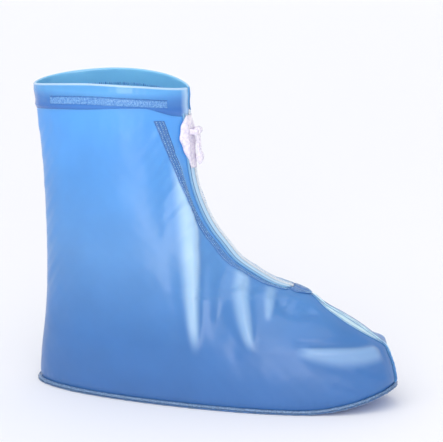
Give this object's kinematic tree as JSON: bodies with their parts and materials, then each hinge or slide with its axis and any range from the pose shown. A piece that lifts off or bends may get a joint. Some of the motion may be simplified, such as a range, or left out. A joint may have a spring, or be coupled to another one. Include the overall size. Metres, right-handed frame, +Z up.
{
  "type": "zip-front shoe cover",
  "caption": "Ankle-high over-boot cover of translucent welded film, with a front zip, an inner tongue, an elastic top hem and a flat welded sole.",
  "frame": {"origin": "middle of the overall box, on the floor under the sole", "axes": "+X to the toe, +Y to the wearer's left, +Z up"},
  "size_m": [0.314, 0.1074, 0.2665],
  "materials": {
    "film": "translucent satin blue PVC film",
    "hem_film": "doubled blue PVC film",
    "weld": "knurled high-frequency weld in blue PVC",
    "elastic": "gathered elastic strip under film",
    "tape": "white zip tape and coil",
    "zip_plastic": "moulded white plastic"
  },
  "bodies": {
    "cover": {"sole": "film", "sole_seam": "weld", "side_panel_right": "film", "side_panel_left": "film", "top_hem_right": "hem_film", "top_hem_left": "hem_film", "elastic_strip_right": "elastic", "elastic_strip_left": "elastic", "tongue": "film", "tongue_weld_right": "weld", "tongue_weld_left": "weld", "zipper_tape_right": "tape", "zipper_tape_left": "tape", "zipper_chain": "tape", "zipper_end_weld": "weld", "toe_seam": "film", "zipper_slider": "zip_plastic"},
    "pull": {"pull_tab": "zip_plastic"}
  },
  "joints": [
    {"name": "pull_tab_hinge", "type": "hinge", "parent": "cover", "child": "pull", "pos_m": [-0.01445, 0, 0.225], "axis": [0, -1, 0], "range_deg": [0, 160]}
  ]
}
